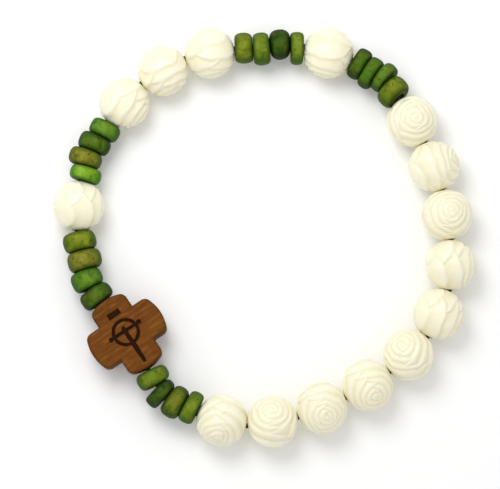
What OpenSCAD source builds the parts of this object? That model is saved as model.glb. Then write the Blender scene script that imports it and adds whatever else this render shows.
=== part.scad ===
// Rosary bracelet: carved rose beads, small stained rondelles and a flat wooden cross, all strung on one
// elastic thread whose ends are knotted inside a bead. It lies on the surface z = 0 in a level loop.
// Lengths are millimetres, and the pieces follow each other counterclockwise, starting at the cross.

/* [Rose beads] */
// Diameter of a carved rose bead
rose_d = 8; // [7:0.1:12]
// Bore through a rose bead
rose_bore = 1.3; // [1.2:0.05:2]

/* [Rondelles] */
// Diameter of the widest rondelle
rondelle_d = 5.5; // [4.4:0.1:8]
// Thickness of the thickest rondelle
rondelle_t = 3.2; // [2.4:0.1:5]
// Bore through a rondelle
rondelle_bore = 2; // [1.6:0.05:2.2]
// Rounding of a rondelle's rim as a share of its thickness
rim_share = 0.38; // [0.2:0.02:0.46]

/* [Wooden cross] */
// Distance from arm end to arm end
cross_span = 12.7; // [11.5:0.1:20]
// Width of each arm
arm_w = 6.3; // [4.5:0.1:7]
// Thickness of the wood
cross_t = 4.2; // [3.4:0.1:6]
// Bore through two opposite arms
cross_bore = 1.6; // [1.3:0.05:2]
// Rounding of the long edges
cross_edge_r = 0.45; // [0.2:0.05:0.8]

/* [Burnt mark on the cross] */
// Depth of the burnt lines
burn_depth = 0.3; // [0.1:0.05:0.4]
// Outer diameter of the ring
ring_d = 4.4; // [3:0.1:5]
// Width of the ring and of the cross bar
burn_w = 0.45; // [0.3:0.05:0.7]
// Length of the cross bar between its end knobs
bar_len = 5.2; // [4:0.1:6]
// Diameter of the knob at each end of the bar
knob_d = 0.7; // [0.4:0.05:0.9]
// Length of the upright below the bar
foot_len = 5.8; // [3:0.1:5.8]
// Width of the upright where it leaves the ring
foot_w = 0.75; // [0.5:0.05:1.2]
// Length of the dash burnt above the ring
dash_len = 2.1; // [1:0.1:2.6]
// Width of that dash
dash_w = 0.9; // [0.4:0.05:1.1]

/* [Thread and spacing] */
// Diameter of the elastic thread
cord_d = 0.8; // [0.5:0.05:0.9]
// Clear gap between neighbours where they come closest
bead_gap = 0.06; // [0.04:0.01:0.3]

/* [Hidden] */
$fn = 96;
// Sides of the thread, and where its bend starts inside each piece as a share of the piece's length
CORD_SIDES = 8;
BEND_SHARE = 0.1;
// How far rondelles and cross hang down on the thread, as a share of the free play in the bore. A piece that is
// shifted to one side hangs less.
HANG_SHARE = 0.6;
// Shift of the cross to the left as a share of its bore's free play
CROSS_SHIFT = 0.9;
// Places in the burnt mark along the thread's direction, measured from the middle of the cross
RING_X = -0.2;
BAR_X = -0.45;
DASH_X = -3.6;
// Length of the upright above the bar, and its width at the foot as a share of its width at the ring
HEAD_LEN = 0.7;
TIP_SHARE = 0.6;
// Least clear space between the thread and a bore
CORD_GAP = 0.04;
// How far a cutter reaches past the surface that it cuts
OVERCUT = 1;

// Groups of rondelles, and the number of rose beads that follows each group, starting after the cross
GROUP_SIZE = 4;
ROSE_RUNS = [10, 1, 3, 1, 0];

// Green stains of the rondelles
LEAF = [0.44, 0.56, 0.20];
DARK = [0.24, 0.38, 0.12];
OLIVE = [0.46, 0.47, 0.19];

// The rondelles in stringing order. The columns are the diameter and the thickness as shares of the largest,
// the lean to the left and the nod of the top towards the next piece, both in degrees off the thread's direction,
// the shift to the left as a share of the bore's free play, and the tone of the green stain.
DIAMETER = 0;
THICKNESS = 1;
LEAN = 2;
NOD = 3;
SHIFT = 4;
TONE = 5;
RONDELLES = [
    [0.97, 0.79, -4, 3, 0.0, LEAF],
    [0.95, 0.55, -1, 2, -1, DARK],
    [0.99, 0.82, 2, 0, -0.4, OLIVE],
    [0.98, 0.67, 5, 0, 1, LEAF],
    [0.97, 0.84, 4, 12, 0, OLIVE],
    [0.94, 0.52, 2, 9, -1, DARK],
    [0.99, 0.60, 3, 5, 0.7, OLIVE],
    [0.96, 0.68, -1, 2, 0, DARK],
    [0.98, 0.60, 0, -2, 0.7, LEAF],
    [0.90, 0.98, 4, 0, -0.6, DARK],
    [0.97, 0.77, 4, 1, 0.8, LEAF],
    [0.91, 0.87, -3, 0, 0, OLIVE],
    [0.91, 0.75, 6, -1, 0.6, LEAF],
    [0.96, 0.77, 4, 0, -0.1, DARK],
    [0.99, 0.76, 5, 2, -0.9, OLIVE],
    [0.94, 0.69, 0, 0, 1, LEAF],
    [0.98, 0.93, 3, 0, 0.1, OLIVE],
    [1.00, 0.90, 1, -1, 0.5, OLIVE],
    [0.93, 0.84, 2, 0, -0.5, LEAF],
    [0.98, 0.79, -1, 2, -0.4, DARK]
];

// The hand-laid course of the thread seen from above, starting at the middle of the cross
ROUTE = [
    [-20.8, -15.9], [-17.6, -23.4], [-13.9, -27.0], [-6.9, -30.6], [1.3, -30.7], [9.0, -28.3],
    [16.4, -24.7], [23.0, -20.0], [28.3, -13.6], [30.1, -5.6], [29.4, 2.4], [27.6, 10.5],
    [23.8, 18.1], [18.6, 25.1], [10.2, 29.5], [0.9, 30.1], [-9.1, 29.0], [-16.8, 26.4],
    [-22.5, 20.8], [-27.3, 13.7], [-30.0, 5.0], [-29.3, -2.0], [-27.1, -9.4]
];
SPAN_STEPS = 8;

// Stringing order
SEQUENCE = concat(["wooden_cross"], [
    for (run = ROSE_RUNS)
        each concat([for (k = [1:GROUP_SIZE]) "rondelle"], [for (k = [1:1:run]) "rose_bead"])
]);
COUNT = len(SEQUENCE);

function wrap(i) = (i + COUNT) % COUNT;
function kind(i) = SEQUENCE[wrap(i)];
function ordinal(i) = len([for (k = [0:i]) if (SEQUENCE[k] == SEQUENCE[i]) k]);
function node_name(i) = kind(i) == "wooden_cross" ? kind(i) : str(kind(i), "_", ordinal(i));

// Sizes of one piece of the string
function row(i) = RONDELLES[ordinal(wrap(i)) - 1];
function is_rondelle(i) = kind(i) == "rondelle";
function rim_d(i) = row(i)[DIAMETER] * rondelle_d;
function thickness(i) = row(i)[THICKNESS] * rondelle_t;
function rim_r(i) = rim_share * thickness(i);
function face_r(i) = rim_d(i) / 2 - rim_r(i);
function tilt(i) = is_rondelle(i) ? [row(i)[LEAN], row(i)[NOD]] : [0, 0];
function half_length(i) =
    is_rondelle(i) ? thickness(i) / 2 / cos(norm(tilt(i)))
    : kind(i) == "rose_bead" ? rose_d / 2
    : cross_span / 2;

// Running sums of a list, with a leading zero
function running(v) = [for (k = 0, s = 0; k <= len(v); s = s + (k < len(v) ? v[k] : 0), k = k + 1) s];
function total(v) = running(v)[len(v)];
// Turn from direction a to direction b, between -180 and 180 degrees
function turn(a, b) = let (d = (b - a) % 360) d > 180 ? d - 360 : d <= -180 ? d + 360 : d;

// Closed smooth curve through the route's points, with its length up to each of them
function spline(a, b, c, d, t) =
    0.5 * (2 * b + (c - a) * t + (2 * a - 5 * b + 4 * c - d) * t * t + (3 * b - a - 3 * c + d) * t * t * t);
CURVE = [
    for (k = [0:len(ROUTE) - 1], step = [0:SPAN_STEPS - 1])
        let (n = len(ROUTE))
            spline(ROUTE[(k + n - 1) % n], ROUTE[k], ROUTE[(k + 1) % n], ROUTE[(k + 2) % n], step / SPAN_STEPS)
];
CURVE_S = running([for (k = [0:len(CURVE) - 1]) norm(CURVE[(k + 1) % len(CURVE)] - CURVE[k])]);
CURVE_LEN = CURVE_S[len(CURVE)];
CURVE_X = [for (k = [0:len(CURVE)]) [CURVE_S[k], CURVE[k % len(CURVE)].x]];
CURVE_Y = [for (k = [0:len(CURVE)]) [CURVE_S[k], CURVE[k % len(CURVE)].y]];
// Point of the curve at a share of its length, counted from the cross
function on_curve(share) =
    let (s = (share - floor(share)) * CURVE_LEN)
        [lookup(s, CURVE_X), lookup(s, CURVE_Y)];

// Heights: the largest bead rests on the surface, and the thread runs level through the rose beads
function slack(bore) = (bore - cord_d) / 2 - CORD_GAP;
THREAD_Z = max(rose_d / 2, rondelle_d / 2 + slack(rondelle_bore), cross_t / 2 + slack(cross_bore));
// Free play of the thread in the bore of piece i, less what the bore loses by its tilt
function play(i) =
    is_rondelle(i) ? slack(rondelle_bore) - thickness(i) / 2 * sin(norm(tilt(i)))
    : kind(i) == "rose_bead" ? 0
    : slack(cross_bore);
function aside(i) = is_rondelle(i) ? row(i)[SHIFT] : CROSS_SHIFT;
function shift(i) = aside(i) * play(i);
function hang(i) = HANG_SHARE * sqrt(1 - pow(aside(i), 2)) * play(i);

// Points where neighbours meet: spread along the curve in proportion to the pieces' lengths, and then scaled
// so that the loop is as long as what is strung on it
function joints(lengths) =
    let (ends = running(lengths), all = ends[COUNT])
        [for (k = [0:COUNT - 1]) on_curve((ends[k] - lengths[0] / 2) / all) * all / CURVE_LEN];
function span(points, i) = norm(points[wrap(i + 1)] - points[i]);
function heading(from, to) = atan2(to.y - from.y, to.x - from.x);
function headings(points) = [for (k = [0:COUNT - 1]) heading(points[k], points[wrap(k + 1)])];

// Turn to the left and downwards from piece i to the next one
function bend_after(i, h) =
    [turn(h[wrap(i)], h[wrap(i + 1)]), 0] + tilt(wrap(i + 1)) - tilt(i);
// How far the flat face of rondelle i reaches on one side of the thread, 1 for the left and -1 for the right
function face_reach(i, side) = face_r(i) + side * shift(i);
// Extra room that piece i needs so that it clears its neighbour j across a bend
function clearance(i, j, bend) =
    let (angle = norm(bend), side = sign(bend.x))
        is_rondelle(i)
            ? play(i) * sin(norm(tilt(i)))
                + (is_rondelle(j) ? min(face_reach(i, side), face_reach(j, side)) * tan(angle / 2) : 0)
        : kind(i) == "rose_bead" ? half_length(i) * (1 / cos(is_rondelle(j) ? angle : angle / 2) - 1)
        : half_length(i) * (1 / cos(angle) - 1) + cross_t / 2 * sin(abs(tilt(j).y));
function gap_after(i, h) =
    let (bend = bend_after(i, h))
        bead_gap + clearance(i, wrap(i + 1), bend) + clearance(wrap(i + 1), i, bend);
function room(i, h) = 2 * half_length(i) + (gap_after(wrap(i - 1), h) + gap_after(i, h)) / 2;

// One pass of laying the pieces: each length is corrected by what the straight span between its joints lacks
function relaid(lengths) =
    let (points = joints(lengths), h = headings(points))
        [for (i = [0:COUNT - 1]) lengths[i] + room(i, h) - span(points, i)];
LAID_JOINT = joints(relaid(relaid(relaid([for (i = [0:COUNT - 1]) 2 * half_length(i)]))));
HEADING = headings(LAID_JOINT);
LAID_MIDDLE = [
    for (i = [0:COUNT - 1])
        let (before = gap_after(wrap(i - 1), HEADING), after = gap_after(i, HEADING))
            LAID_JOINT[i]
                + (span(LAID_JOINT, i) / 2 + (before - after) / 4) * [cos(HEADING[i]), sin(HEADING[i])]
                + shift(i) * [-sin(HEADING[i]), cos(HEADING[i])]
];

// How far piece i reaches from its middle in direction a, seen from above
function reach(i, a) =
    is_rondelle(i)
        ? let (off = a - HEADING[i] - tilt(i).x)
            rim_r(i) + (thickness(i) / 2 - rim_r(i)) * abs(cos(off)) + face_r(i) * abs(sin(off))
        : half_length(i);
// The origin is in the middle of the whole bracelet
ORIGIN = [
    for (axis = [0, 1])
        (max([for (i = [0:COUNT - 1]) LAID_MIDDLE[i][axis] + reach(i, 90 * axis)])
            + min([for (i = [0:COUNT - 1]) LAID_MIDDLE[i][axis] - reach(i, 90 * axis)])) / 2
];
JOINT = [for (p = LAID_JOINT) p - ORIGIN];
MIDDLE = [for (p = LAID_MIDDLE) p - ORIGIN];

// Puts a piece that is drawn along +X on the thread as number i of the string
module at_place(i) {
    translate([MIDDLE[i].x, MIDDLE[i].y, THREAD_Z - hang(i)])
        rotate([0, tilt(i).y, HEADING[i] + tilt(i).x])
            children();
}

module bore(d, length) {
    rotate([0, 90, 0])
        cylinder(d = d, h = length + 2 * OVERCUT, center = true);
}

// Ball drilled along its own axis of revolution
module drilled_ball(d, hole) {
    rotate([0, 90, 0])
        rotate_extrude()
            difference() {
                circle(d = d);
                translate([hole / 2 - d, -d])
                    square([d, 2 * d]);
            }
}

module rose_bead(i) {
    color("ivory")
        at_place(i)
            drilled_ball(rose_d, rose_bore);
}

// Half section of a rondelle: a flat-faced disc whose rim is rounded at both corners
module rondelle_section(d, t, r) {
    square([d / 2 - r, t / 2]);
    square([d / 2, t / 2 - r]);
    translate([d / 2 - r, t / 2 - r])
        circle(r);
}

module rondelle(i) {
    color(row(i)[TONE])
        at_place(i)
            difference() {
                rotate([0, 90, 0])
                    rotate_extrude()
                        intersection() {
                            union() {
                                rondelle_section(rim_d(i), thickness(i), rim_r(i));
                                mirror([0, 1])
                                    rondelle_section(rim_d(i), thickness(i), rim_r(i));
                            }
                            translate([0, -thickness(i)])
                                square([rim_d(i), 2 * thickness(i)]);
                        }
                bore(rondelle_bore, thickness(i));
            }
}

// Arm section: a rectangle with four rounded corners
module arm_section(w, t, r) {
    square([w - 2 * r, t], center = true);
    square([w, t - 2 * r], center = true);
    for (x = [-1, 1], y = [-1, 1])
        translate([x * (w / 2 - r), y * (t / 2 - r)])
            circle(r);
}

module arm_pair() {
    rotate([90, 0, 90])
        linear_extrude(cross_span, center = true)
            arm_section(arm_w, cross_t, cross_edge_r);
}

// Disc with a rounded rim, from which the four arm ends take their curve
module rounded_disc() {
    rotate_extrude()
        intersection() {
            arm_section(cross_span, cross_t, cross_edge_r);
            translate([0, -cross_t])
                square([cross_span, 2 * cross_t]);
        }
}

// Plain ringed cross burnt into the upper face, with a short dash above it
module burnt_mark() {
    cut = burn_depth + OVERCUT;
    upright_side = [
        [BAR_X - HEAD_LEN, burn_w / 2],
        [RING_X + ring_d / 2, foot_w / 2],
        [BAR_X + foot_len, TIP_SHARE * foot_w / 2]
    ];
    translate([RING_X, 0, 0])
        difference() {
            cylinder(d = ring_d, h = cut);
            translate([0, 0, -OVERCUT])
                cylinder(d = ring_d - 2 * burn_w, h = cut + 2 * OVERCUT);
        }
    translate([BAR_X - burn_w / 2, -bar_len / 2, 0])
        cube([burn_w, bar_len, cut]);
    for (side = [-1, 1])
        translate([BAR_X, side * bar_len / 2, 0])
            cylinder(d = knob_d, h = cut);
    linear_extrude(cut)
        polygon(concat(upright_side, [for (k = [2:-1:0]) [upright_side[k].x, -upright_side[k].y]]));
    translate([DASH_X - dash_w / 2, -dash_len / 2, 0])
        cube([dash_w, dash_len, cut]);
}

module wooden_cross(i) {
    color("saddlebrown")
        at_place(i)
            difference() {
                intersection() {
                    union() {
                        arm_pair();
                        rotate([0, 0, 90])
                            arm_pair();
                    }
                    rounded_disc();
                }
                bore(cross_bore, cross_span);
                translate([0, 0, cross_t / 2 - burn_depth])
                    burnt_mark();
            }
}

// Elastic thread: straight through each piece and bent between them
CORD_PATH = [
    for (i = [0:COUNT - 1], share = [BEND_SHARE, 1 - BEND_SHARE])
        JOINT[i] + share * (JOINT[wrap(i + 1)] - JOINT[i])
];
module elastic_cord() {
    n = len(CORD_PATH);
    rings = [
        for (k = [0:n - 1])
            let (h = heading(CORD_PATH[(k + n - 1) % n], CORD_PATH[(k + 1) % n]))
                for (side = [0:CORD_SIDES - 1])
                    let (a = 360 * (side + 0.5) / CORD_SIDES, out = cord_d / 2 * cos(a))
                        [CORD_PATH[k].x - sin(h) * out, CORD_PATH[k].y + cos(h) * out, THREAD_Z + cord_d / 2 * sin(a)]
    ];
    faces = [
        for (k = [0:n - 1], side = [0:CORD_SIDES - 1])
            let (a = k * CORD_SIDES, b = ((k + 1) % n) * CORD_SIDES, next = (side + 1) % CORD_SIDES)
                [a + side, a + next, b + next, b + side]
    ];
    color("black")
        polyhedron(rings, faces);
}

for (i = [0:COUNT - 1]) {
    union() {
        if (kind(i) == "rose_bead") rose_bead(i);
        if (kind(i) == "rondelle") rondelle(i);
        if (kind(i) == "wooden_cross") wooden_cross(i);
    }
}
elastic_cord();
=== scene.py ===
"""Looks of a rosary bracelet: carved rose beads, green rondelles and a wooden cross around the frame.

Lengths are metres, apart from the cross, whose sizes are millimetres. Each piece is built in its own
space, where +X runs along the thread, +Y to the inside of the loop and +Z up, and is then put where its
frame node lies.
"""

import logging
import math
from dataclasses import dataclass, field
from enum import Enum
from typing import Any, Mapping, Protocol

import bpy
import numpy as np
from mathutils import Matrix, Vector


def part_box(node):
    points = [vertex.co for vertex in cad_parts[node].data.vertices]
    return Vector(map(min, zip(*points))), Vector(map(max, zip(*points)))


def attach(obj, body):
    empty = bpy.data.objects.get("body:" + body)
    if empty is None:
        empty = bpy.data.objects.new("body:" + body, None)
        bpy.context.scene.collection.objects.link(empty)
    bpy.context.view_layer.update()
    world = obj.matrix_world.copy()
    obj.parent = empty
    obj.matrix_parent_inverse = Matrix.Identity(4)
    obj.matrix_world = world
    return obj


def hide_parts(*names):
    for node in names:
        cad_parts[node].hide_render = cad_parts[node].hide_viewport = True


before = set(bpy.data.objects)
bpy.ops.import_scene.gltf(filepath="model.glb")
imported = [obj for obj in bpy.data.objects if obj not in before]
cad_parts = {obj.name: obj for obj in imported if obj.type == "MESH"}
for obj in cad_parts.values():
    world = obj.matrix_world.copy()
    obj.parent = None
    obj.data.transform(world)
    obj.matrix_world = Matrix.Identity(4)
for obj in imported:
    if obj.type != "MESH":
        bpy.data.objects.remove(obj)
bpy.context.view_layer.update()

LOG = logging.getLogger("rosary_bracelet")
MM = 0.001
PHOTO_WIDTH = 500
Colour = tuple[float, float, float, float]


def tint(red: float, green: float, blue: float) -> Colour:
    """Turns a display colour into the scene's linear colour.

    Args:
        red: Red from 0 to 255.
        green: Green from 0 to 255.
        blue: Blue from 0 to 255.

    Returns:
        Linear red, green and blue, and an alpha of 1.
    """
    shares = [c / 255 for c in (red, green, blue)]
    linear = [c / 12.92 if c <= 0.04045 else ((c + 0.055) / 1.055) ** 2.4 for c in shares]
    return (*linear, 1.0)


def smooth(low: float, high: float, value: np.ndarray) -> np.ndarray:
    """Gives 0 at low and 1 at high with a soft S-shaped rise between them."""
    share = np.clip((value - low) / (high - low), 0, 1)
    return share * share * (3 - 2 * share)


def ripple(points: np.ndarray, pitch: float, seed: int, waves: int = 14) -> np.ndarray:
    """Adds plane waves of random direction into a smooth uneven field.

    Args:
        points: Places, one row each.
        pitch: Length of one wave, in the unit of the places.
        seed: Chooses the waves.
        waves: How many waves are added.

    Returns:
        One value for each place, mostly between -1 and 1.
    """
    rng = np.random.default_rng(seed)
    directions = rng.normal(size=(waves, 3))
    directions /= np.linalg.norm(directions, axis=1)[:, None]
    lengths = 2 * math.pi / (pitch * rng.uniform(0.7, 1.5, waves))
    phases = rng.uniform(0, 2 * math.pi, waves)
    return np.sin(points @ (directions * lengths[:, None]).T + phases).sum(1) / math.sqrt(waves)


class Sock:
    """An output socket that takes part in Python arithmetic by adding Math nodes."""

    def __init__(self, paint: "Paint", socket: bpy.types.NodeSocket) -> None:
        """Wraps a socket of the given material."""
        self.paint = paint
        self.socket = socket

    def _math(self, operation: str, *values: "Sock | float") -> "Sock":
        """Adds a Math node on the values and returns its result."""
        return self.paint.node("ShaderNodeMath", {"operation": operation}, dict(enumerate(values)))

    def __add__(self, other: "Sock | float") -> "Sock":
        """Adds."""
        return self._math("ADD", self, other)

    def __radd__(self, other: "Sock | float") -> "Sock":
        """Adds, with the number first."""
        return self._math("ADD", other, self)

    def __sub__(self, other: "Sock | float") -> "Sock":
        """Subtracts."""
        return self._math("SUBTRACT", self, other)

    def __rsub__(self, other: "Sock | float") -> "Sock":
        """Subtracts from a number."""
        return self._math("SUBTRACT", other, self)

    def __mul__(self, other: "Sock | float") -> "Sock":
        """Multiplies."""
        return self._math("MULTIPLY", self, other)

    def __rmul__(self, other: "Sock | float") -> "Sock":
        """Multiplies, with the number first."""
        return self._math("MULTIPLY", other, self)

    def top(self, other: "Sock | float") -> "Sock":
        """Takes the larger of two values."""
        return self._math("MAXIMUM", self, other)

    def between(self, start: float, end: float) -> "Sock":
        """Gives 0 at start and 1 at end, softly, and stays there beyond them."""
        return self.paint.node("ShaderNodeMapRange", {"interpolation_type": "SMOOTHSTEP"},
                               {"Value": self, "From Min": start, "From Max": end})


class Paint:
    """One material and the nodes that are added to it."""

    def __init__(self, name: str) -> None:
        """Starts a material with no nodes.

        Args:
            name: Name of the material.
        """
        self.material = bpy.data.materials.new(name)
        self.material.use_nodes = True
        self.tree = self.material.node_tree
        self.tree.nodes.clear()

    def node(self, kind: str, settings: Mapping[str, Any] | None = None,
             sockets: Mapping[int | str, Any] | None = None, out: int | str = 0) -> Sock:
        """Adds a node.

        Args:
            kind: The node's type.
            settings: The node's own settings, which are set before its sockets.
            sockets: Values or links of the input sockets, by name or place.
            out: Name or place of the output socket.

        Returns:
            The chosen output.
        """
        made = self.tree.nodes.new(kind)
        for name, value in (settings or {}).items():
            setattr(made, name, value)
        for key, value in (sockets or {}).items():
            if isinstance(value, Sock):
                self.tree.links.new(value.socket, made.inputs[key])
            else:
                made.inputs[key].default_value = value
        return Sock(self, made.outputs[out]) if made.outputs else Sock(self, None)

    def place(self, stretch: tuple[float, float, float] = (1, 1, 1),
              shift: tuple[float, float, float] = (0, 0, 0)) -> Sock:
        """Gives the point in the piece's own space, in millimetres, stretched and shifted."""
        own = self.node("ShaderNodeTexCoord", out="Object")
        return self.node("ShaderNodeMapping", {"vector_type": "POINT"},
                         {"Vector": own, "Location": shift, "Scale": [s / MM for s in stretch]})

    def noise(self, vector: Sock, scale: float, detail: float = 2, roughness: float = 0.5) -> Sock:
        """Adds a noise whose cells are about 1 / scale of the vector's unit."""
        return self.node("ShaderNodeTexNoise", None,
                         {"Vector": vector, "Scale": scale, "Detail": detail, "Roughness": roughness})

    def mix(self, share: Sock | float, first: Sock | Colour, second: Sock | Colour) -> Sock:
        """Mixes two colours."""
        return self.node("ShaderNodeMix", {"data_type": "RGBA"}, {0: share, 6: first, 7: second}, out=2)

    def bump(self, height: Sock, distance: float, strength: float = 1) -> Sock:
        """Turns a height of 0 to 1 into a normal, for a relief of the given depth in metres."""
        return self.node("ShaderNodeBump", None,
                         {"Height": height, "Distance": distance, "Strength": strength})

    def mask(self, name: str) -> Sock:
        """Reads a value that the mesh holds at its points."""
        return self.node("ShaderNodeAttribute", {"attribute_name": name}, out="Fac")

    def finish(self, **sockets: Any) -> bpy.types.Material:
        """Closes the material with a Principled shader.

        Args:
            **sockets: The shader's sockets, with underscores for spaces.

        Returns:
            The finished material.
        """
        named = {name.replace("_", " "): value for name, value in sockets.items()}
        surface = self.node("ShaderNodeBsdfPrincipled", None, named)
        self.node("ShaderNodeOutputMaterial", None, {"Surface": surface})
        return self.material


class Slot(Enum):
    """The record's material slots."""

    IVORY = "ivory_resin"
    LEAF = "leaf_green_wood"
    DARK = "dark_green_wood"
    OLIVE = "olive_green_wood"
    CROSS = "brown_wood"
    ELASTIC = "black_elastic"


@dataclass(frozen=True)
class CarvedIvory:
    """Cream resin with carved petals, waxy and rougher in the cuts, with painted highlight on the ridges
    and warm painted shade in the cuts.
    """

    # Colour of the painted highlight on the petals' lips.
    ridge_highlight: Colour = tint(248, 244, 222)
    body: Colour = tint(242, 237, 208)
    # Colour of the warm painted shade in the cuts and the bore.
    cut: Colour = tint(220, 211, 166)

    def material(self) -> bpy.types.Material:
        """Builds the finish.

        Returns:
            The finished material.
        """
        paint = Paint("carved_ivory")
        place = paint.place()
        cloud = paint.noise(place, 0.55, 3).between(0.35, 0.7)
        colour = paint.mix(cloud * 0.5, self.body, self.ridge_highlight)
        # Painted highlight: the lips of the petals are lightened towards the ridge colour.
        colour = paint.mix(paint.mask("ridge_highlight") * 0.6, colour, self.ridge_highlight)
        # Painted shade: the cuts between petals and the bore's wall turn towards the cut colour.
        colour = paint.mix(paint.mask("cut") * 0.34, colour, self.cut)
        grain = paint.noise(place, 5.0, 4, 0.6)
        return paint.finish(
            Base_Color=colour, Roughness=0.22 + 0.14 * grain + 0.22 * paint.mask("cut"),
            Normal=paint.bump(grain, 0.03 * MM, 0.5), IOR=1.5,
            Subsurface_Weight=0.12, Subsurface_Radius=(1.0, 0.8, 0.5), Subsurface_Scale=0.0006)


@dataclass(frozen=True)
class StainedWood:
    """Small turned wood, unevenly stained green under a thin varnish, with open pores, and with painted
    highlight on the crown and painted shade on the flanks and in the seams.
    """

    name: str
    slot: Slot
    body: Colour
    bright: Colour
    deep: Colour
    mottle: float = 0.5
    pores: float = 0.5
    # Colour of the painted shade in the seams between beads.
    seam_shade: Colour = tint(26, 40, 8)
    russet: Colour = tint(102, 88, 18)
    pit: Colour = tint(34, 40, 14)

    def material(self, seed: int) -> bpy.types.Material:
        """Builds the finish for one rondelle.

        Args:
            seed: Shifts the pattern, so that no two rondelles are alike.

        Returns:
            The finished material.
        """
        paint = Paint(f"{self.name}_{seed}")
        shift = (seed * 7.3, seed * 3.1, seed * 5.7)
        place = paint.place(shift=shift)
        blotch = paint.noise(place, 0.75, 3, 0.55).between(0.42, 0.62)
        colour = paint.mix(blotch * self.mottle, self.body, self.bright)
        russet = paint.noise(place, 0.55, 3, 0.55).between(0.5, 0.62)
        colour = paint.mix(russet * self.pores * 0.6, colour, self.russet)
        smudge = paint.noise(paint.place((0.9, 0.9, 0.9), shift[::-1]), 0.6, 4, 0.6).between(0.5, 0.68)
        colour = paint.mix(smudge * 0.7, colour, self.deep)
        fibre = paint.noise(paint.place((0.7, 4.5, 4.5), shift), 1.4, 3, 0.6)
        colour = paint.mix(fibre.between(0.5, 0.72) * 0.35, colour, self.deep)
        across = paint.mask("across")
        crown = paint.mask("crown")
        # Painted highlight: the top of the crown, away from the faces, is lightened towards the bright
        # colour.
        painted_crown_highlight = crown.between(0.9, 1.0) * (1 - across.between(0.2, 0.8))
        colour = paint.mix(painted_crown_highlight * 0.35, colour, self.bright)
        # Painted shade: the disc darkens towards its lower flanks, where the crown mask falls, and towards
        # its faces, where the across mask rises.
        wear_and_painted_shade = (1 - crown.between(0.4, 0.95)).top(across.between(0.42, 0.95))
        colour = paint.mix(wear_and_painted_shade * 0.85, colour, self.deep)
        # Painted shade in the seams: the faces, the bore and the edge of the rim next to them turn almost
        # black-green.
        colour = paint.mix(across.between(0.9, 1.0) * 0.85, colour, self.seam_shade)
        cells = paint.node("ShaderNodeTexVoronoi", {"feature": "F1"}, {"Vector": place, "Scale": 1.6})
        patch = paint.noise(place, 0.5, 1).between(0.42, 0.52)
        pore = (1 - cells.between(0.14, 0.3)) * patch * self.pores
        colour = paint.mix(pore, colour, self.pit)
        relief = 0.6 * fibre + 0.4 * paint.noise(place, 3.0, 3) - 0.8 * pore
        return paint.finish(
            Base_Color=colour, Roughness=0.42 + 0.2 * fibre + 0.2 * pore,
            Normal=paint.bump(relief, 0.06 * MM, 0.8), Specular_IOR_Level=0.1)


@dataclass(frozen=True)
class CrossWood:
    """Reddish brown straight-grained wood, silky, with burnt lines, painted shade on its edges and sides,
    and painted shade in the bore's mouths.
    """

    body: Colour = tint(112, 65, 16)
    pale: Colour = tint(136, 86, 32)
    red: Colour = tint(130, 58, 16)
    dark: Colour = tint(78, 42, 10)
    burnt: Colour = tint(32, 12, 3)

    def material(self) -> bpy.types.Material:
        """Builds the finish.

        Returns:
            The finished material.
        """
        paint = Paint("cross_wood")
        warp = paint.noise(paint.place((0.25, 0.12, 0.3)), 1.0, 2)
        lines = paint.node(
            "ShaderNodeTexWave", {"wave_type": "BANDS", "bands_direction": "X", "wave_profile": "SIN"},
            {"Vector": paint.place((1, 0.08, 1)), "Scale": 0.3, "Distortion": 3.4,
             "Detail": 3, "Detail Scale": 1.2, "Phase Offset": 1.0})
        fibre = paint.noise(paint.place((5.0, 0.35, 5.0)), 1.1, 4, 0.65)
        colour = paint.mix(fibre.between(0.35, 0.7) * 0.75, self.body, self.dark)
        broken = paint.noise(paint.place((0.9, 0.5, 0.9), (5, 2, 1)), 1.0, 2).between(0.4, 0.65)
        colour = paint.mix(lines.between(0.5, 1.0) * broken * 0.6, colour, self.pale)
        fleck = paint.noise(paint.place((2.6, 0.5, 2.6), (3, 1, 4)), 1.3, 3, 0.6).between(0.55, 0.7)
        colour = paint.mix(fleck * 0.45, colour, self.red)
        colour = paint.mix(warp.between(0.45, 0.7) * 0.25, colour, self.pale)
        # The burnt mark's real colour, also used as painted shade inside the bore's mouths.
        burn_and_bore_shade = paint.mask("burn_and_bore_shade")
        colour = paint.mix(burn_and_bore_shade * (0.85 + 0.15 * fibre), colour, self.burnt)
        # Painted shade: the rounded upper edges and the side walls turn towards the dark colour.
        rim = paint.mask("rim")
        colour = paint.mix(rim * 0.6, colour, self.dark)
        return paint.finish(
            Base_Color=colour, Roughness=0.46 + 0.2 * fibre + 0.2 * burn_and_bore_shade,
            Normal=paint.bump(0.7 * fibre + 0.3 * lines, 0.06 * MM, 0.7), Specular_IOR_Level=0.07)


@dataclass(frozen=True)
class ElasticThread:
    """Dull black elastic with a fine round braid."""

    body: Colour = tint(24, 22, 22)
    wear_and_painted_shade: Colour = tint(52, 49, 47)

    def material(self) -> bpy.types.Material:
        """Builds the finish.

        Returns:
            The finished material.
        """
        paint = Paint("elastic_thread")
        place = paint.place()
        strands = paint.node("ShaderNodeTexWave", {"wave_type": "BANDS", "bands_direction": "DIAGONAL"},
                             {"Vector": place, "Scale": 1.7, "Distortion": 0.6, "Detail": 1})
        lint = paint.noise(place, 6.0, 3)
        return paint.finish(
            Base_Color=paint.mix(strands * 0.5 + lint * 0.2, self.body, self.wear_and_painted_shade),
            Roughness=0.55 + 0.2 * lint, Normal=paint.bump(strands, 0.05 * MM, 0.8))


@dataclass(frozen=True)
class Place:
    """Where a piece sits: its middle and its own three directions."""

    middle: Vector
    along: Vector
    inside: Vector
    up: Vector

    def matrix(self) -> Matrix:
        """Gives the transform from the piece's own space to the frame."""
        turned = Matrix((self.along, self.inside, self.up)).transposed().to_4x4()
        return Matrix.Translation(self.middle) @ turned


def corners(node: str) -> list[tuple[float, ...]]:
    """Lists the separate corner points of a frame node's mesh, in a fixed order."""
    return sorted({tuple(round(c, 8) for c in v.co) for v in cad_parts[node].data.vertices})


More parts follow.
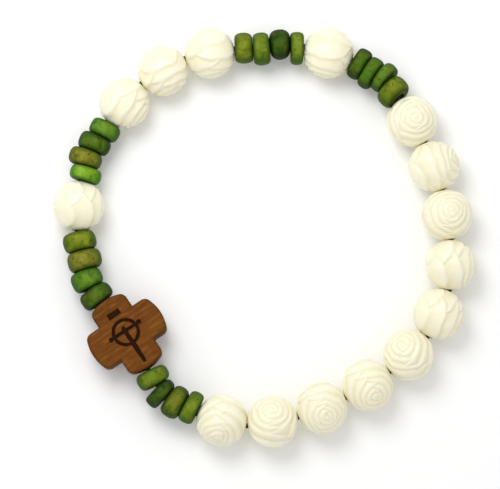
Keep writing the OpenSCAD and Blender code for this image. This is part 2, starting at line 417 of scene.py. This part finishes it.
class ThreadCourse:
    """The course of the thread, read from its frame node."""

    SIDES = 8

    def __init__(self, node: str) -> None:
        """Finds the middles of the thread's rings, in order round the loop.

        Args:
            node: The thread's frame node, an eight-sided tube.
        """
        rim = sorted({tuple(round(c, 7) for c in v.co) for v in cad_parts[node].data.vertices},
                     key=lambda p: math.atan2(p[1], p[0]))
        rings = np.array(rim).reshape(-1, self.SIDES, 3)
        self.middles: list[Vector] = [Vector(m) for m in rings.mean(1)]
        self.radius: float = float(np.linalg.norm(rings - rings.mean(1)[:, None], axis=2).mean())

    def place(self, node: str) -> Place:
        """Finds where a strung piece lies.

        Args:
            node: The piece's frame node.

        Returns:
            Its place, with +X along the nearest span of the thread.
        """
        low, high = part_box(node)
        middle = (low + high) / 2
        count = len(self.middles)
        spans = [(self.middles[k], self.middles[(k + 1) % count]) for k in range(count)]
        start, end = min(spans, key=lambda s: ((s[0] + s[1]) / 2 - middle).length)
        along = (end - start).normalized()
        up = Vector((0, 0, 1))
        return Place(middle, along, up.cross(along).normalized(), up)

    def leaning(self, node: str) -> Place:
        """Finds where a disc lies, which may lean on the thread.

        Args:
            node: The disc's frame node.

        Returns:
            Its place, with +X along the disc's own axis.
        """
        level = self.place(node)
        offsets = np.array(corners(node)) - np.array(level.middle)
        _, axes = np.linalg.eigh(offsets.T @ offsets)
        axis = max((Vector(axes[:, k]) for k in range(3)), key=lambda v: abs(v.dot(level.along)))
        along = axis if axis.dot(level.along) > 0 else -axis
        inside = level.up.cross(along).normalized()
        return Place(level.middle, along, inside, along.cross(inside))


def loft(rows: np.ndarray, name: str, closed_rows: bool = False,
         masks: Mapping[str, np.ndarray] | None = None) -> bpy.types.Mesh:
    """Skins a grid of points that closes along each row.

    Args:
        rows: Points as an array of rows, points in a row, and three coordinates.
        name: Name of the mesh.
        closed_rows: Whether the last row is joined to the first one.
        masks: Values for each point, which the mesh keeps under their names.

    Returns:
        The smooth-shaded mesh.
    """
    height, width = rows.shape[:2]
    steps = height if closed_rows else height - 1
    row, col = np.meshgrid(np.arange(steps), np.arange(width), indexing="ij")
    after, beside = (row + 1) % height, (col + 1) % width
    faces = np.stack([row * width + col, row * width + beside,
                      after * width + beside, after * width + col], -1)
    mesh = bpy.data.meshes.new(name)
    mesh.from_pydata(rows.reshape(-1, 3).tolist(), [], faces.reshape(-1, 4).tolist())
    for mask, values in (masks or {}).items():
        kept = mesh.attributes.new(mask, "FLOAT", "POINT")
        kept.data.foreach_set("value", np.asarray(values, np.float32).ravel())
    mesh.polygons.foreach_set("use_smooth", [True] * len(mesh.polygons))
    mesh.update()
    return mesh


def put(mesh: bpy.types.Mesh, place: Place | None, material: bpy.types.Material, node: str) -> None:
    """Puts a mesh in the scene in place of its frame node.

    Args:
        mesh: The mesh, in the piece's own space.
        place: Where it goes, or None if it lies in the frame's own space.
        material: Its finish.
        node: The frame node that it stands for.
    """
    mesh.materials.append(material)
    piece = bpy.data.objects.new(f"{node}_look", mesh)
    bpy.context.scene.collection.objects.link(piece)
    if place is not None:
        piece.matrix_world = place.matrix()
    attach(piece, "root")
    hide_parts(node)


@dataclass(frozen=True)
class Bloom:
    """How one carved rose is turned: about the thread, and about its own middle, in degrees."""

    turn: float
    roll: float
    seed: int


@dataclass
class RoseBeads:
    """The carved beads: each a ball cut as one open rose whose petals wrap right round it.

    Petals start from the heart at the angles of lip_deg. From the innermost petal to the outermost one,
    their half width, their rise towards both ends and the power of that rise go from the first value of
    half_deg, rise_deg and rise_power to the second. Each petal has a rolled lip and a wall down to the
    petal below it. The carving fades in over the angles of carved_from, in radians from the bore's edge.
    """

    course: ThreadCourse
    ball_r: float = 4.0 * MM
    bore_r: float = 0.65 * MM
    around: int = 176
    rows: int = 132
    petal_step: float = 0.34 * MM
    proud: float = 0.12 * MM
    end_lift: float = 0.035 * MM
    wall_deg: float = 3.6
    roll_deg: float = 4.6
    lip_share: float = 0.5
    lip_deg: tuple[float, ...] = (4, 8, 12, 16, 20.5, 25, 29.5, 34.5, 39.5, 45, 51, 57.5, 65, 74, 85, 98,
                                  113, 130, 147, 164)
    half_deg: tuple[float, float] = (128, 92)
    rise_deg: tuple[float, float] = (40, 74)
    rise_power: tuple[float, float] = (4.2, 2.3)
    fade_deg: tuple[float, float] = (90, 150)
    faded: float = 0.6
    petal_turn_deg: float = 126
    sway: float = 0.03
    jitter_deg: tuple[float, float] = (9, 6)
    jitter_share: float = 0.06
    roll_share: float = 0.34
    wall_share: float = 0.3
    half_depth_gap_deg: float = 8
    evenness: tuple[float, float] = (0.85, 0.2)
    grain: tuple[float, float] = (0.015 * MM, 0.006 * MM)
    bore_edge: float = 0.05 * MM
    bore_inset: float = 0.1 * MM
    bore_shade: float = 0.6
    worn_to: float = 0.03
    carved_from: tuple[float, float] = (0.02, 0.42)
    blooms: dict[int, Bloom] = field(default_factory=lambda: {
        1: Bloom(-49, 20, 1), 2: Bloom(27, 75, 2), 3: Bloom(-27, 0, 3), 4: Bloom(-37, 140, 4),
        5: Bloom(25, 215, 5), 6: Bloom(-96, 60, 6), 7: Bloom(-90, 300, 7), 8: Bloom(-9, 180, 8),
        9: Bloom(-71, 100, 9), 10: Bloom(-5, 260, 10), 11: Bloom(109, 30, 11), 12: Bloom(108, 330, 12),
        13: Bloom(102, 190, 13), 14: Bloom(99, 120, 14), 15: Bloom(120, 240, 15)})

    def carve(self, out: np.ndarray, bloom: Bloom) -> tuple[np.ndarray, np.ndarray, np.ndarray]:
        """Works out the petals' relief.

        Args:
            out: Unit directions from the bead's middle, one row each.
            bloom: How the rose is turned.

        Returns:
            The depth below the ball's surface in metres, the mask of the cuts, which take painted shade,
            and the mask of the ridges, which take painted highlight.
        """
        turn, roll = math.radians(bloom.turn), math.radians(bloom.roll)
        heart = np.array([0.0, math.sin(turn), math.cos(turn)])
        first = np.array([1.0, 0.0, 0.0])
        second = np.cross(heart, first)
        drift = [ripple(out, pitch=0.7, seed=bloom.seed * 11 + k) for k in range(3)]
        wavy = out + self.sway * np.stack(drift, -1)
        wavy /= np.linalg.norm(wavy, axis=1)[:, None]
        theta = np.degrees(np.arccos(np.clip(wavy @ heart, -1, 1)))
        phi = np.degrees(np.arctan2(wavy @ second, wavy @ first) + roll)
        rng = np.random.default_rng(100 + bloom.seed)
        turn_off, width_off = self.jitter_deg
        count = len(self.lip_deg)
        lips = np.full((count, len(out)), np.inf)
        for k, start in enumerate(self.lip_deg):
            share = k / (count - 1)
            middle = k * self.petal_turn_deg + rng.uniform(-turn_off, turn_off)
            half = np.interp(share, (0, 1), self.half_deg) + rng.uniform(-width_off, width_off)
            rise = np.interp(share, (0, 1), self.rise_deg)
            power = np.interp(share, (0, 1), self.rise_power)
            off = np.abs((phi - middle + 180) % 360 - 180)
            uneven = rng.uniform(1 - self.jitter_share, 1 + self.jitter_share)
            lip = start * uneven + rise * (off / half) ** power
            lips[k] = np.where(off < half, lip, np.inf)
        covers = lips <= theta
        order = np.arange(count)[:, None]
        on_top = np.where(covers, order, -1).max(0)
        behind = np.where(on_top >= 0, theta - lips[np.maximum(on_top, 0), np.arange(len(out))], theta)
        ahead = np.minimum(np.where(order > on_top, lips, np.inf).min(0) - theta, 60)
        gap = behind + ahead
        rolled = np.minimum(self.roll_deg, self.roll_share * gap)
        wall = np.minimum(self.wall_deg, self.wall_share * gap)
        sunk = np.clip((behind - rolled) / np.maximum(gap - rolled - wall, 0.5), 0, 1) ** 1.1
        over = self.lip_share * (1 - smooth(0, 1, behind / rolled))
        foot = self.lip_share + (1 - self.lip_share) * smooth(0, 1, ahead / wall)
        relief = np.where(behind < rolled, over, sunk * foot)
        shown = 1 - self.faded * smooth(*self.fade_deg, theta)
        base, swing = self.evenness
        strength = base + swing * ripple(out, pitch=1.1, seed=bloom.seed * 5 + 2)
        depth = self.petal_step * gap / (gap + self.half_depth_gap_deg) * strength * relief * shown
        coarse, fine = self.grain
        depth += (coarse * (1 + ripple(out, pitch=0.5, seed=bloom.seed * 7 + 3))
                  + fine * ripple(out, pitch=0.16, seed=bloom.seed))
        # Masks for painted shade in the cuts and painted highlight on the ridges.
        cut = smooth(0.3, 1.0, relief) * shown
        ridge_highlight = (1 - smooth(0.0, 0.3, relief)) * shown
        return depth, cut, ridge_highlight

    def mesh(self, name: str, bloom: Bloom) -> bpy.types.Mesh:
        """Builds one bead.

        Args:
            name: Name of the mesh.
            bloom: How the rose is turned.

        Returns:
            The mesh: the carved surface from bore edge to bore edge, and the wall of the bore.
        """
        edge = math.asin(self.bore_r / self.ball_r)
        polar = np.linspace(edge, math.pi - edge, self.rows)
        spin = np.linspace(0, 2 * math.pi, self.around, endpoint=False)
        girth = np.sin(polar)[:, None]
        out = np.stack(np.broadcast_arrays(
            np.cos(polar)[:, None], girth * np.cos(spin), girth * np.sin(spin)), -1)
        carving = self.carve(out.reshape(-1, 3), bloom)
        depth, cut, ridge_highlight = (values.reshape(self.rows, self.around) for values in carving)
        near_end = np.minimum(polar - edge, math.pi - edge - polar)
        carved = smooth(*self.carved_from, near_end)[:, None]
        wear_and_painted_shade = smooth(0, self.worn_to, near_end)[:, None]
        plain = self.end_lift - self.bore_edge * (1 - wear_and_painted_shade)
        radius = self.ball_r + (self.proud - depth) * carved + plain * (1 - carved)
        skin = out * radius[..., None]
        skin[..., 2] = np.maximum(skin[..., 2], -self.ball_r)
        reach = math.sqrt(self.ball_r ** 2 - self.bore_r ** 2) - self.bore_inset
        wall_x = np.linspace(-reach, reach, 4)
        bore_y, bore_z = self.bore_r * np.cos(spin)[None], self.bore_r * np.sin(spin)[None]
        wall = np.stack(np.broadcast_arrays(wall_x[:, None], bore_y, bore_z), -1)
        blank = np.zeros((len(wall_x), self.around))
        # The cut mask carries painted shade, over the bore's wall too; the ridge mask carries painted
        # highlight, kept off the bore's edges.
        masks = {"cut": np.vstack([cut, blank + self.bore_shade]),
                 "ridge_highlight": np.vstack([ridge_highlight * wear_and_painted_shade, blank])}
        return loft(np.concatenate([skin, wall]), name, closed_rows=True, masks=masks)

    def build(self) -> None:
        """Builds and dresses all rose beads."""
        ivory = CarvedIvory().material()
        for number, bloom in self.blooms.items():
            node = f"rose_bead_{number}"
            put(self.mesh(node, bloom), self.course.place(node), ivory, node)
            LOG.info("%s carved", node)


BRIGHT_LEAF = StainedWood("bright_leaf", Slot.LEAF,
                          tint(110, 158, 32), tint(140, 186, 56), tint(56, 102, 12), 0.7, 0.3)
COOL_LEAF = StainedWood("cool_leaf", Slot.LEAF,
                        tint(80, 122, 26), tint(116, 148, 42), tint(36, 80, 12), 0.6, 0.3)
SPRING = StainedWood("spring", Slot.LEAF,
                     tint(96, 118, 20), tint(126, 142, 40), tint(48, 80, 6), 0.6, 0.5)
MOSS = StainedWood("moss", Slot.DARK, tint(60, 94, 8), tint(94, 120, 24), tint(22, 50, 2), 0.6, 0.8)
FERN = StainedWood("fern", Slot.DARK, tint(80, 116, 22), tint(108, 138, 40), tint(36, 68, 8), 0.6, 0.7)
PINE = StainedWood("pine", Slot.DARK, tint(44, 72, 6), tint(76, 102, 18), tint(18, 42, 2), 0.5, 0.6)
YELLOW_OLIVE = StainedWood("yellow_olive", Slot.OLIVE,
                           tint(104, 120, 14), tint(134, 144, 36), tint(54, 78, 4), 0.7, 0.7)
BROWN_OLIVE = StainedWood("brown_olive", Slot.OLIVE,
                          tint(112, 116, 24), tint(142, 138, 50), tint(62, 76, 8), 0.7, 0.9)
SHADED_OLIVE = StainedWood("shaded_olive", Slot.OLIVE,
                           tint(84, 102, 12), tint(116, 128, 32), tint(40, 64, 4), 0.6, 0.9)
MOSSY_OLIVE = StainedWood("mossy_olive", Slot.OLIVE,
                          tint(66, 108, 8), tint(94, 128, 24), tint(30, 62, 2), 0.6, 0.6)


@dataclass
class Rondelles:
    """The small turned beads: rounded discs, each a little uneven from the lathe.

    The rounding of the rim takes rim_share of the half thickness, or that disc's own share in rounder. A
    face may grow by up to most_growth, and stops seam_gap before its neighbour. The survey fills discs with
    each disc's place, rim radius and half thickness, and strung with each piece's middle and half length.
    """

    course: ThreadCourse
    bore_r: float = 1.0 * MM
    around: int = 80
    rim_rows: int = 28
    squareness: float = 2.35
    chamfer: tuple[float, float] = (0.07 * MM, 0.08 * MM)
    face_shade: float = 0.85
    rim_share: float = 0.68
    wobble: float = 0.05 * MM
    seam_gap: float = 0.03 * MM
    most_growth: float = 0.22 * MM
    stains: dict[int, StainedWood] = field(default_factory=lambda: {
        1: SPRING, 2: PINE, 3: SHADED_OLIVE, 4: SPRING, 5: YELLOW_OLIVE, 6: FERN, 7: MOSSY_OLIVE, 8: MOSS,
        9: SPRING, 10: PINE, 11: SPRING, 12: YELLOW_OLIVE, 13: COOL_LEAF, 14: MOSS, 15: BROWN_OLIVE,
        16: BRIGHT_LEAF, 17: YELLOW_OLIVE, 18: BROWN_OLIVE, 19: COOL_LEAF, 20: MOSS})
    rounder: dict[int, float] = field(default_factory=lambda: {
        10: 1.1, 1: 0.85, 3: 0.85, 15: 0.8, 17: 0.75})
    discs: dict[str, tuple[Place, float, float]] = field(default_factory=dict)
    strung: dict[str, tuple[Vector, float]] = field(default_factory=dict)

    def survey(self) -> None:
        """Notes where every strung node lies and how long it is, and measures the discs."""
        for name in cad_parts:
            if name.startswith(("rondelle", "rose_bead", "wooden_cross")):
                low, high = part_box(name)
                self.strung[name] = ((low + high) / 2, min(high - low) / 2)
        for number in self.stains:
            node = f"rondelle_{number}"
            place = self.course.leaning(node)
            self.discs[node] = (place, *self.measure(node, place))

    def measure(self, node: str, place: Place) -> tuple[float, float]:
        """Measures a disc.

        Args:
            node: The disc's frame node.
            place: Where the disc lies.

        Returns:
            Its rim radius and its half thickness.
        """
        back = place.matrix().inverted()
        local = np.array([back @ v.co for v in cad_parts[node].data.vertices])
        return float(np.hypot(local[:, 1], local[:, 2]).max()), float(np.abs(local[:, 0]).max())

    def room(self, node: str, points: np.ndarray) -> np.ndarray:
        """Works out how far a disc's faces may grow towards its neighbours.

        Args:
            node: The disc's frame node.
            points: Points of the disc in its own space, one row each.

        Returns:
            The growth along the disc's axis at each point, for the face on that point's side.
        """
        place, _, half = self.discs[node]
        back = place.matrix().inverted()
        grown = np.zeros(len(points))
        for side in (1, -1):
            mine = np.sign(points[:, 0]) == side
            tip = place.middle + place.along * (side * half)
            other = min((name for name in self.strung if name != node),
                        key=lambda name: (self.strung[name][0] - tip).length - self.strung[name][1])
            if other in self.discs:
                there, _, reach = self.discs[other]
                normal = back.to_3x3() @ there.along
                normal *= math.copysign(1.0, normal.x) * side
                face = back @ there.middle - normal * reach
                across = points[mine][:, 1:] - np.array([face.y, face.z])
                free = side * (face.x - across @ np.array([normal.y, normal.z]) / normal.x) - half
                grown[mine] = np.clip((free - self.seam_gap) / 2, 0, self.most_growth)
            else:
                near = np.array([back @ v.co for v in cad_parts[other].data.vertices])
                facing = near[np.hypot(near[:, 1], near[:, 2]) < 2 * self.bore_r]
                free = float((side * facing[:, 0]).min()) - half if len(facing) else 0.0
                grown[mine] = min(max(free - self.seam_gap, 0.0), self.most_growth)
        return grown

    def mesh(self, name: str, seed: int) -> bpy.types.Mesh:
        """Builds one rondelle.

        Args:
            name: Name of the mesh and of the frame node.
            seed: Chooses the unevenness.

        Returns:
            The mesh, with its bore.
        """
        _, rim_r, half = self.discs[name]
        face_r = rim_r - self.rounder.get(seed, self.rim_share) * half
        bend = np.linspace(0, math.pi, self.rim_rows)
        power = 2 / self.squareness
        profile_x = half * np.sign(np.cos(bend)) * np.abs(np.cos(bend)) ** power
        profile_r = face_r + (rim_r - face_r) * np.sin(bend) ** power
        deep, wide = self.chamfer
        face_rows = np.linspace(self.bore_r + wide, face_r, 5)[:-1]
        bore_x = np.linspace(-(half - deep), half - deep, 4)
        x = np.concatenate([np.full(4, half), profile_x, np.full(4, -half), bore_x])
        r = np.concatenate([face_rows, profile_r, face_rows[::-1], np.full(4, self.bore_r)])
        spin = np.linspace(0, 2 * math.pi, self.around, endpoint=False)
        points = np.stack(np.broadcast_arrays(
            x[:, None], r[:, None] * np.cos(spin), r[:, None] * np.sin(spin)), -1)
        flat = points.reshape(-1, 3)
        waves = np.clip(ripple(flat, pitch=3.2 * MM, seed=seed * 5 + 1), -1, 1)
        uneven = 0.5 * (1 + waves).reshape(points.shape[:2])
        outer = smooth(self.bore_r, 1.4 * self.bore_r, r)[:, None]
        points[..., 1:] *= 1 - (self.wobble * uneven * outer / rim_r)[..., None]
        # The across mask steers painted shade towards the faces and seams; the faces themselves take
        # face_shade.
        edge = np.where((r < face_r) & (r > 1.05 * self.bore_r), self.face_shade, np.abs(x) / half)
        across = np.broadcast_to(edge[:, None], uneven.shape)
        points[..., 0] *= 1 + self.room(name, flat).reshape(uneven.shape) / half
        # The crown mask, the height over the axis, steers painted highlight on top and painted shade low on
        # the flanks.
        masks = {"across": across, "crown": points[..., 2] / rim_r}
        return loft(points, name, closed_rows=True, masks=masks)

    def build(self) -> None:
        """Builds and dresses all rondelles."""
        self.survey()
        for number, stain in self.stains.items():
            node = f"rondelle_{number}"
            place, rim_r, half = self.discs[node]
            put(self.mesh(node, number), place, stain.material(number), node)
            LOG.info("%s turned: %.2f mm across, %.2f mm thick", node, 2 * rim_r / MM, 2 * half / MM)


@dataclass
class WoodenCross:
    """The flat cross: four equal arms with curved ends, soft edges and a burnt mark.

    Its sizes are millimetres. The mark is a ring of diameter ring_d around ring_x, a bar with knobs at
    bar_x, an upright from head above the bar to foot below it, and a dash at dash_x.
    """

    course: ThreadCourse
    node: str = "wooden_cross"
    span: float = 12.7
    arm: float = 6.3
    thick: float = 4.2
    edge_r: float = 0.45
    corner_r: float = 0.6
    bore_r: float = 0.8
    bore_depth: float = 1.4
    mouth: tuple[float, float] = (-0.08, 0.02)
    ring_d: float = 4.4
    line: float = 0.45
    ring_x: float = -0.2
    bar_x: float = -0.45
    bar_len: float = 5.2
    knob_d: float = 0.7
    head: float = 0.7
    foot: float = 5.8
    foot_w: float = 0.75
    tip_share: float = 0.6
    dash_x: float = -3.6
    dash: tuple[float, float] = (0.9, 2.1)
    burn_depth: float = 0.3
    burn_slope: tuple[float, float] = (-0.1, 0.05)
    burn_fade: tuple[float, float] = (-0.06, 0.15)
    ragged: tuple[float, float] = (0.02, 0.03)
    edge_rows: tuple[float, ...] = (0, 0.02, 0.06, 0.12, 0.2, 0.3, 0.42, 0.56)
    around: int = 480
    rings: int = 46
    hub: float = 0.004
    wall_rows: int = 22
    halvings: int = 40

    def inward(self, x: np.ndarray, y: np.ndarray) -> np.ndarray:
        """Measures the way to the outline.

        Args:
            x: Place along the thread.
            y: Place across it.

        Returns:
            The distance to the outline, positive inside the cross.
        """
        to_end = self.span / 2 - np.hypot(x, y)
        over_x, over_y = self.arm / 2 - np.abs(x), self.arm / 2 - np.abs(y)
        to_notch = np.where((over_x < 0) & (over_y < 0), np.maximum(over_x, over_y),
                            np.hypot(np.maximum(over_x, 0), np.maximum(over_y, 0)))
        round_off = np.hypot(np.maximum(self.corner_r - to_end, 0), np.maximum(self.corner_r - to_notch, 0))
        return np.maximum(self.corner_r, np.minimum(to_end, to_notch)) - round_off

    def outline(self, spin: np.ndarray) -> np.ndarray:
        """Finds the outline by halving.

        Args:
            spin: Directions from the middle, in radians.

        Returns:
            The outline's radius in each direction.
        """
        low, high = np.full(spin.shape, 1.0), np.full(spin.shape, self.span)
        for _ in range(self.halvings):
            middle = (low + high) / 2
            inside = self.inward(middle * np.cos(spin), middle * np.sin(spin)) > 0
            low, high = np.where(inside, middle, low), np.where(inside, high, middle)
        return low

    @staticmethod
    def box_gap(x: np.ndarray, y: np.ndarray, size_x: float, size_y: float) -> np.ndarray:
        """Measures the way to a rectangle around the origin.

        Args:
            x: Place along the thread.
            y: Place across it.
            size_x: The rectangle's length.
            size_y: The rectangle's width.

        Returns:
            The distance outside the rectangle, negative inside.
        """
        over_x, over_y = np.abs(x) - size_x / 2, np.abs(y) - size_y / 2
        outside = np.hypot(np.maximum(over_x, 0), np.maximum(over_y, 0))
        return outside + np.minimum(np.maximum(over_x, over_y), 0)

    def burnt(self, x: np.ndarray, y: np.ndarray) -> np.ndarray:
        """Measures the way to the burnt mark.

        Args:
            x: Place along the thread.
            y: Place across it.

        Returns:
            The distance outside the mark's lines, negative inside.
        """
        ring = np.abs(np.hypot(x - self.ring_x, y) - (self.ring_d - self.line) / 2) - self.line / 2
        bar = self.box_gap(x - self.bar_x, y, self.line, self.bar_len)
        knobs = np.hypot(x - self.bar_x, np.abs(y) - self.bar_len / 2) - self.knob_d / 2
        top, knee, tip = self.bar_x - self.head, self.ring_x + self.ring_d / 2, self.bar_x + self.foot
        widths = [self.line / 2, self.foot_w / 2, self.tip_share * self.foot_w / 2]
        half = np.interp(x, [top, knee, tip], widths)
        upright = np.maximum(np.abs(y) - half, np.maximum(top - x, x - tip))
        dash = self.box_gap(x - self.dash_x, y, *self.dash)
        return np.minimum.reduce([ring, bar, knobs, upright, dash])

    def crown(self, inward: np.ndarray) -> np.ndarray:
        """Gives the height of the rounded upper edge above the middle plane."""
        reach = self.edge_r - np.clip(inward, 0, self.edge_r)
        return self.thick / 2 - self.edge_r + np.sqrt(np.maximum(self.edge_r ** 2 - reach ** 2, 0))

    def mesh(self) -> bpy.types.Mesh:
        """Builds the cross.

        Returns:
            The mesh: the upper face with its mark, the edge with the bore's two mouths, and the underside.
        """
        spin = np.linspace(0, 2 * math.pi, self.around, endpoint=False)
        rim = self.outline(spin)
        near = np.array(self.edge_rows)
        far = np.linspace(1, self.hub, self.rings)
        offsets = np.concatenate([np.broadcast_to(near[:-1, None], (len(near) - 1, self.around)),
                                  rim - (rim - near[-1]) * far[:, None]])
        radius = rim - offsets
        x, y = radius * np.cos(spin), radius * np.sin(spin)
        inward = self.inward(x, y)
        mark = self.burnt(x, y)
        char = ripple(np.stack([x, y, 0 * x], -1).reshape(-1, 3), pitch=0.5, seed=4).reshape(x.shape)
        dent, scorch = (mark + amount * char for amount in self.ragged)
        depth = self.burn_depth * (1 - smooth(*self.burn_slope, dent))
        crown = self.crown(inward)
        upper = np.stack([x, y, crown - depth], -1)[::-1]
        lower_rows = np.r_[0:len(near), len(near) + 2:len(offsets):5, len(offsets) - 1]
        lower = np.stack([x, y, -crown], -1)[lower_rows]
        heights = np.linspace(1, -1, self.wall_rows + 2)[1:-1, None] * (self.thick / 2 - self.edge_r)
        wall = np.stack(np.broadcast_arrays(rim * np.cos(spin), rim * np.sin(spin), heights), -1).copy()
        hole = np.hypot(wall[..., 1], wall[..., 2])
        inner, outer = (self.bore_r + step for step in self.mouth)
        sunk = self.bore_depth * (1 - smooth(inner, outer, hole))
        wall[..., 0] -= np.sign(wall[..., 0]) * sunk
        points = np.concatenate([upper, wall, lower])
        burn_and_bore_shade = np.zeros(points.shape[:2])
        burn_and_bore_shade[:len(upper)] = (1 - smooth(*self.burn_fade, scorch))[::-1]
        # Painted shade in the bore's mouths: the sunk wall takes the burnt colour.
        burn_and_bore_shade[len(upper):len(upper) + len(wall)] = smooth(0.1, 0.8, sunk)
        # Mask of painted shade on the rounded upper edge and on the side walls.
        edge = np.zeros(points.shape[:2])
        edge[:len(upper)] = (1 - smooth(0, self.edge_r, inward))[::-1]
        edge[len(upper):len(upper) + len(wall)] = 1
        return loft(points * MM, self.node, masks={"burn_and_bore_shade": burn_and_bore_shade, "rim": edge})

    def build(self) -> None:
        """Builds and dresses the cross."""
        put(self.mesh(), self.course.place(self.node), CrossWood().material(), self.node)
        LOG.info("%s cut and burnt", self.node)


@dataclass
class ElasticCord:
    """The closed loop of elastic thread inside the beads."""

    course: ThreadCourse
    node: str = "elastic_cord"
    sides: int = 14
    steps: int = 4

    def mesh(self) -> bpy.types.Mesh:
        """Sweeps a round section along the course, with the bends between the beads smoothed.

        Returns:
            The mesh, one closed tube.
        """
        knots = np.array(self.course.middles)
        before, after, later = np.roll(knots, 1, 0), np.roll(knots, -1, 0), np.roll(knots, -2, 0)
        share = np.linspace(0, 1, self.steps, endpoint=False)[None, :, None]
        reach = np.linalg.norm(after - knots, axis=1)[:, None]
        leave = (after - before) / np.linalg.norm(after - before, axis=1)[:, None] * reach
        arrive = (later - knots) / np.linalg.norm(later - knots, axis=1)[:, None] * reach
        basis = (2 * share ** 3 - 3 * share ** 2 + 1, share ** 3 - 2 * share ** 2 + share,
                 3 * share ** 2 - 2 * share ** 3, share ** 3 - share ** 2)
        path = sum(b * v[:, None] for b, v in zip(basis, (knots, leave, after, arrive))).reshape(-1, 3)
        heading = np.roll(path, -1, 0) - np.roll(path, 1, 0)
        side = np.stack([-heading[:, 1], heading[:, 0], 0 * heading[:, 0]], -1)
        side /= np.linalg.norm(side, axis=1)[:, None]
        angle = np.linspace(0, 2 * math.pi, self.sides, endpoint=False)[None, :, None]
        ring = side[:, None] * np.cos(angle) + np.array([0, 0, 1.0]) * np.sin(angle)
        return loft(path[:, None] + self.course.radius * ring, self.node, closed_rows=True)

    def build(self) -> None:
        """Builds and dresses the thread."""
        put(self.mesh(), None, ElasticThread().material(), self.node)
        LOG.info("%s threaded through %d spans", self.node, len(self.course.middles) // 2)


@dataclass
class Studio:
    """Pale floor, soft light from the picture's top, and the camera almost straight above."""

    aim: tuple[float, float, float] = (-2.27 * MM, -1.36 * MM, 3.8 * MM)
    distance: float = 0.4
    elevation_deg: float = 83.0
    focal_px: float = 2514.0
    sensor_mm: float = 36.0
    floor: Colour = tint(250, 250, 250)
    floor_span: float = 3.0
    sky_strength: float = 0.78
    key_power: float = 0.23
    key_size: float = 0.13
    key_from: tuple[float, float, float] = (-0.06, 0.09, 0.20)

    def build(self) -> None:
        """Adds floor, light and camera."""
        self.lay_floor()
        self.light()
        self.look()
        bpy.context.scene.view_settings.view_transform = "Standard"
        LOG.info("studio ready")

    def lay_floor(self) -> None:
        """Adds the pale surface that the bracelet lies on."""
        paint = Paint("pale_floor")
        grain = paint.noise(paint.place(), 0.2, 2)
        material = paint.finish(Base_Color=self.floor, Roughness=0.7 + 0.1 * grain, Specular_IOR_Level=0.2)
        mesh = bpy.data.meshes.new("floor")
        half = self.floor_span / 2
        corner_points = [(-half, -half, 0), (half, -half, 0), (half, half, 0), (-half, half, 0)]
        mesh.from_pydata(corner_points, [], [(0, 1, 2, 3)])
        mesh.materials.append(material)
        floor = bpy.data.objects.new("floor", mesh)
        bpy.context.scene.collection.objects.link(floor)

    def light(self) -> None:
        """Adds a bright even sky and one large soft lamp."""
        world = bpy.data.worlds.new("studio_sky")
        bpy.context.scene.world = world
        world.use_nodes = True
        sky = world.node_tree.nodes["Background"]
        sky.inputs["Color"].default_value = (1, 1, 1, 1)
        sky.inputs["Strength"].default_value = self.sky_strength
        lamp = bpy.data.lights.new("key", "AREA")
        lamp.shape, lamp.size, lamp.energy = "DISK", self.key_size, self.key_power
        holder = bpy.data.objects.new("key", lamp)
        holder.location = self.key_from
        holder.rotation_euler = (-Vector(self.key_from)).to_track_quat("-Z", "Y").to_euler()
        bpy.context.scene.collection.objects.link(holder)

    def look(self) -> None:
        """Adds the camera at the photograph's angle."""
        lens = bpy.data.cameras.new("camera")
        lens.sensor_width = self.sensor_mm
        lens.lens = self.sensor_mm * self.focal_px / PHOTO_WIDTH
        lens.clip_start, lens.clip_end = 0.01, 10
        camera = bpy.data.objects.new("camera", lens)
        rise = math.radians(self.elevation_deg)
        back = Vector((0, -math.cos(rise), math.sin(rise)))
        camera.location = Vector(self.aim) + back * self.distance
        camera.rotation_euler = (-back).to_track_quat("-Z", "Y").to_euler()
        bpy.context.scene.collection.objects.link(camera)
        bpy.context.scene.camera = camera


class SubAssembly(Protocol):
    """One group of pieces that builds and dresses itself."""

    def build(self) -> None:
        """Adds the group's pieces to the scene."""


def main() -> None:
    """Builds the studio and every sub-assembly of the bracelet."""
    logging.basicConfig(level=logging.INFO, format="%(name)s: %(message)s")
    Studio().build()
    course = ThreadCourse("elastic_cord")
    groups: tuple[SubAssembly, ...] = (WoodenCross(course), Rondelles(course), RoseBeads(course),
                                       ElasticCord(course))
    for group in groups:
        group.build()


if __name__ == "__main__":
    main()
